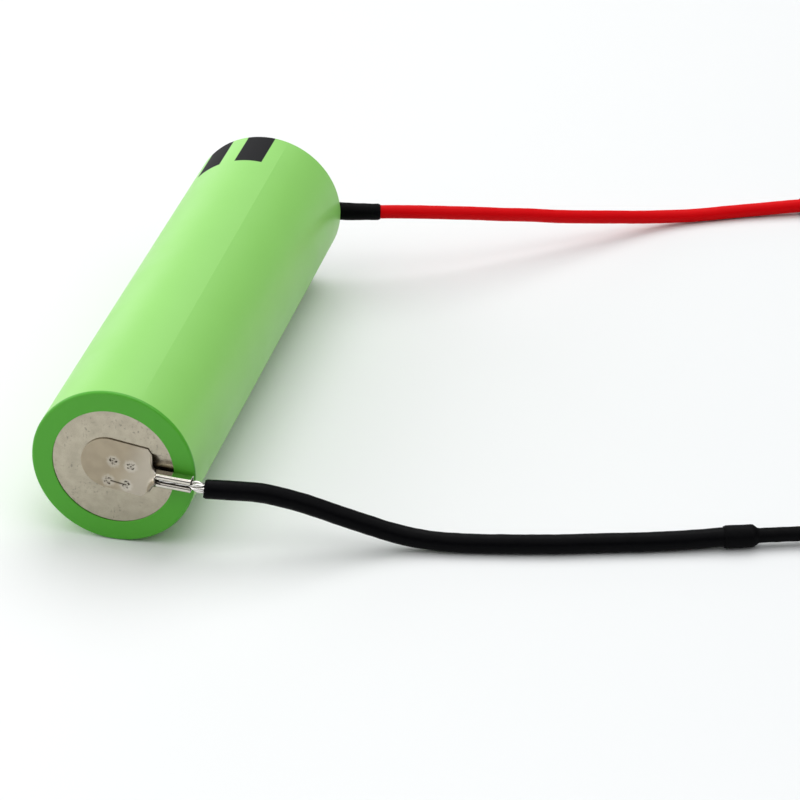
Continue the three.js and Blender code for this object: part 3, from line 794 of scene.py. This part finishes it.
def tag_piece(name, place, plate_turn, plate_shift):
    """A solder tag as one bent sheet. place turns the tag's own (along, across, up) into the row frame. The
    plate is turned and shifted on the cell's end against the line of its barrel. Painted shade darkens the
    back at the neck and under the barrel, the inside of the barrel's first mouth, and its curled wing tips."""
    rows = tag_rows()
    columns = 131
    middle, burns_and_shade, back_burns_and_shade, halos, rolls = [], [], [], [], []
    for u in rows:
        half = developed_half(u)
        fold, curl = bend_shares(u)
        base = TAG_LIFT + (BARREL_BASE - TAG_LIFT) * ease(u, 4.15, BARREL_START + 0.15)
        skew = 1 - ease(u, TAG_SHOULDER, BARREL_START)
        for j in range(columns):
            d = half * (2 * j / (columns - 1) - 1)
            across, up = bent_point(d, fold, curl) if fold > 0 else (d, 0.0)
            cos, sin = math.cos(plate_turn * skew), math.sin(plate_turn * skew)
            along = TAG_ROUND + (u - TAG_ROUND) * cos - across * sin
            side = plate_shift * skew + (u - TAG_ROUND) * sin + across * cos
            height, burn_and_shade, halo = weld_marks(u, across) if u < 3 else (0.0, 0.0, 0.0)
            middle.append((along, side, base + up + height))
            # Painted shade along the seam, on the curled wing tips.
            if curl > 0 and abs(d) > CURL_START + CURL_LENGTH - 0.25:
                burn_and_shade = 0.85
            # Painted shade on the back at the neck and under the barrel, and inside the barrel's first mouth
            # on the front.
            neck = ease(u, 3.2, 3.8) * (1 - ease(u, 4.8, 5.15))
            beneath = ease(u, 4.6, 5.0) * (1 - ease(abs(d), 0.5, 0.8))
            mouth = ease(u, 4.9, 5.1) * (1 - ease(u, 5.2, 5.4)) * (1 - ease(abs(d), 1.3, 1.6))
            back_burns_and_shade.append(max(burn_and_shade, 0.92 * max(neck, beneath)))
            burns_and_shade.append(max(burn_and_shade, 0.8 * mouth))
            pale = 0.45 * ease(u - 0.25 * across, 0.2, 3.8)
            halos.append(min(1, halo + pale))
            rolls.append(ease(u, 4.6, BARREL_START + 0.1))
    grid = np.array(middle).reshape(len(rows), columns, 3)
    du = np.gradient(grid, axis=0)
    dv = np.gradient(grid, axis=1)
    normal = np.cross(du, dv)
    normal /= np.maximum(np.linalg.norm(normal, axis=2), 1e-9)[:, :, None]
    top = (grid + normal * SHEET / 2).reshape(-1, 3)
    bottom = (grid - normal * SHEET / 2).reshape(-1, 3)
    count = len(rows) * columns
    points = [place(p) for p in np.concatenate([top, bottom])]
    faces = grid_faces(len(rows), columns)
    faces += [tuple(count + i for i in reversed(f)) for f in grid_faces(len(rows), columns)]
    rim = list(range(columns))
    rim += [i * columns + columns - 1 for i in range(1, len(rows))]
    rim += [(len(rows) - 1) * columns + j for j in range(columns - 2, -1, -1)]
    rim += [i * columns for i in range(len(rows) - 2, 0, -1)]
    for a, b in zip(rim, rim[1:] + rim[:1]):
        faces.append((a, count + a, count + b, b))
    piece = mesh_piece(name, points, faces, TAG, sharp=50)
    for key, front, back in (("burn_and_shade", burns_and_shade, back_burns_and_shade), ("halo", halos, halos), ("rolled", rolls, rolls)):
        stored = piece.data.attributes.new(key, "FLOAT", "POINT")
        stored.data.foreach_set("value", np.array(front + back, np.float32))
    return piece


def tag_place(side, level, offset, turn):
    """Turns a tag's own (along, across, up) into the row frame. side is -1 at the negative end, +1 at the
    positive one."""
    cos, sin = math.cos(turn), math.sin(turn)

    def place(p):
        x = p[0] * cos - p[1] * sin
        across = p[0] * sin + p[1] * cos
        return (x, level + side * p[2], AXIS_Z + offset - side * across)

    return place


def make_tags():
    negative = tag_place(-1, CAN_BOTTOM, NEGATIVE_OFFSET, BARREL_TURN)
    positive = tag_place(1, END, POSITIVE_OFFSET, 0)
    tag = tag_piece("negative_solder_tag", negative, PLATE_TURN, PLATE_SHIFT)
    stands_for("negative_tag")
    tag = tag_piece("positive_solder_tag", positive, 0.0, 0.0)
    stands_for("positive_tag")


make_tags()

# ---- Positive end --------------------------------------------------------------------------------

CAP_DOME_R = 4.0
CAP_FLANGE = 0.45
CAP_SHEET = 0.4
PAPER_BORE, PAPER_R = 5.0, 8.5
VENT_WINDOWS = 3
WINDOW_SIZE = (2.4, 0.42, 2.2)
WINDOW_UP = 0.24


def cap_profile():
    low, high = node_box("positive_cap")
    bottom, top, radius = low[1], high[1], (high[0] - low[0]) / 2
    flange = bottom + CAP_FLANGE
    profile = [(0, top - CAP_SHEET)]
    profile += arc((CAP_DOME_R - 0.5, top - CAP_SHEET - 0.2), 0.2, 90, 0, 4)
    profile += [(CAP_DOME_R + 0.2, bottom + 0.1), (CAP_DOME_R + 0.3, bottom), (radius - 0.05, bottom)]
    profile += arc((radius - 0.08, flange - 0.08), 0.08, 0, 90, 4)
    profile += [(CAP_DOME_R + away, flange + up) for away, up in ((0.85, 0), (0.6, 0.08), (0.4, 0.3))]
    profile += arc((CAP_DOME_R, top - 0.25), 0.25, 10, 90, 6)
    return profile + [(0, top)]


def window_cutter(turn):
    """A box where one of the dome's vent windows goes."""
    middle = node_box("positive_cap")[0][1] + CAP_FLANGE + WINDOW_UP
    width, height, depth = (size / 2 for size in WINDOW_SIZE)
    corners = [(x, y, z) for x in (-width, width) for y in (-height, height) for z in (-depth, depth)]
    cos, sin = math.cos(turn), math.sin(turn)
    points = []
    for x, y, z in corners:
        z += CAP_DOME_R + 0.4
        points.append((x * cos + z * sin, middle + y, AXIS_Z - x * sin + z * cos))
    faces = [(0, 1, 3, 2), (4, 6, 7, 5), (0, 4, 5, 1), (2, 3, 7, 6), (0, 2, 6, 4), (1, 5, 7, 3)]
    mesh = bpy.data.meshes.new("window_cutter")
    mesh.from_pydata((np.array(points) * MM).tolist(), [], faces)
    cutter = bpy.data.objects.new("window_cutter", mesh)
    scene.collection.objects.link(cutter)
    return cutter


def cut(piece, cutters):
    """Takes the cutters out of a piece and throws them away."""
    for cutter in cutters:
        modifier = piece.modifiers.new("cut", "BOOLEAN")
        modifier.operation = "DIFFERENCE"
        modifier.solver = "EXACT"
        modifier.object = cutter
    depsgraph = bpy.context.evaluated_depsgraph_get()
    result = bpy.data.meshes.new_from_object(piece.evaluated_get(depsgraph))
    piece.modifiers.clear()
    piece.data = result
    for cutter in cutters:
        bpy.data.objects.remove(cutter)


def make_positive_end():
    cap = revolved("positive_dome", cap_profile(), INNER_STEEL)
    cut(cap, [window_cutter(math.pi * (1 / 6 + 2 * i / VENT_WINDOWS)) for i in range(VENT_WINDOWS)])
    stands_for("positive_cap")
    low, high = node_box("positive_ring_insulator")
    bottom, top = low[1], high[1]
    ring = [(PAPER_BORE, bottom)]
    ring += line((PAPER_BORE + 0.05, bottom), (PAPER_R, bottom), 6)
    ring += [(PAPER_R, bottom), (PAPER_R, top)]
    ring += line((PAPER_R - 0.05, top), (PAPER_BORE, top), 12)
    ring += [(PAPER_BORE, top)]
    paper = revolved("paper_ring", ring, PAPER)
    stands_for("positive_ring_insulator")


make_positive_end()

# ---- Inner CAD nodes keep their shape and get a finish -------------------------------------------

INNER_FINISHES = {
    "header_gasket": GASKET, "ptc_ring": PTC, "vent_disc": ALUMINIUM,
    "vent_disc_rim": ALUMINIUM, "cid_insulator": GASKET, "contact_plate": ALUMINIUM,
    "positive_inner_tab": ALUMINIUM, "top_insulator": FIBRE, "bottom_insulator": FIBRE,
    "cathode_winding": CATHODE, "anode_winding": ANODE, "inner_separator": SEPARATOR,
    "outer_separator": SEPARATOR, "center_pin": INNER_STEEL, "negative_inner_tab": INNER_STEEL,
}


def dress_inner_nodes():
    for name, material in INNER_FINISHES.items():
        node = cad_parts[name]
        if not node.material_slots:
            node.data.materials.append(material)
        for slot in node.material_slots:
            slot.material = material


dress_inner_nodes()

# ---- Floor, light and view transform -------------------------------------------------------------


FLOOR_HALF = 3.0
FLOOR_DROP = 0.00002


def make_floor():
    half = FLOOR_HALF
    mesh = bpy.data.meshes.new("floor")
    corners = [(-half, -half, 0), (half, -half, 0), (half, half, 0), (-half, half, 0)]
    mesh.from_pydata(corners, [], [(0, 1, 2, 3)])
    mesh.materials.append(floor_finish())
    floor = bpy.data.objects.new("floor", mesh)
    floor.location.z = -FLOOR_DROP
    scene.collection.objects.link(floor)


# Soft-edged round lights in the sky: (degrees round from +Y towards +X, degrees up, degrees from the middle
# to the edge's inside, degrees to its outside, brightness).
SKY_LIGHTS = (
    (-90, 10, 24, 38, 1.7),
    (-90, 45, 20, 34, 0.9),
    (-30, -4, 18, 30, 1.6),
    (-5, 60, 20, 30, 2.8),
    (60, 50, 22, 36, 0.5),
    (118, 54, 20, 34, 1.32),
    (-135, 30, 20, 34, 0.95),
    (180, 84, 12, 24, 0.6),
    (-160, 58, 6, 13, 1.8),
)
SKY_GLOW = 0.03


def make_world():
    """A dim room with large soft lights: a low one on the left, and others above and behind the cell."""
    world = bpy.data.worlds.new("world")
    world.use_nodes = True
    tree = world.node_tree
    background = tree.nodes["Background"]
    looking = tree.nodes.new("ShaderNodeTexCoord").outputs["Generated"]
    total = None
    for azimuth, elevation, inside, outside, brightness in SKY_LIGHTS:
        turn, rise = math.radians(azimuth), math.radians(elevation)
        toward = tree.nodes.new("ShaderNodeVectorMath")
        toward.operation = "DOT_PRODUCT"
        toward.inputs[1].default_value = (
            math.sin(turn) * math.cos(rise),
            math.cos(turn) * math.cos(rise),
            math.sin(rise),
        )
        tree.links.new(looking, toward.inputs[0])
        area = tree.nodes.new("ShaderNodeMapRange")
        area.interpolation_type = "SMOOTHSTEP"
        area.inputs["From Min"].default_value = math.cos(math.radians(outside))
        area.inputs["From Max"].default_value = math.cos(math.radians(inside))
        area.inputs["To Max"].default_value = brightness
        tree.links.new(toward.outputs["Value"], area.inputs["Value"])
        adding = tree.nodes.new("ShaderNodeMath")
        adding.operation = "ADD"
        adding.inputs[1].default_value = SKY_GLOW
        tree.links.new(area.outputs["Result"], adding.inputs[0])
        if total is not None:
            tree.links.new(total, adding.inputs[1])
        total = adding.outputs[0]
    tree.links.new(total, background.inputs["Strength"])
    background.inputs["Color"].default_value = (1, 1, 1, 1)
    scene.world = world


make_floor()
make_world()
scene.view_settings.view_transform = "Standard"
scene.view_settings.look = "None"
scene.view_settings.exposure = 0.0
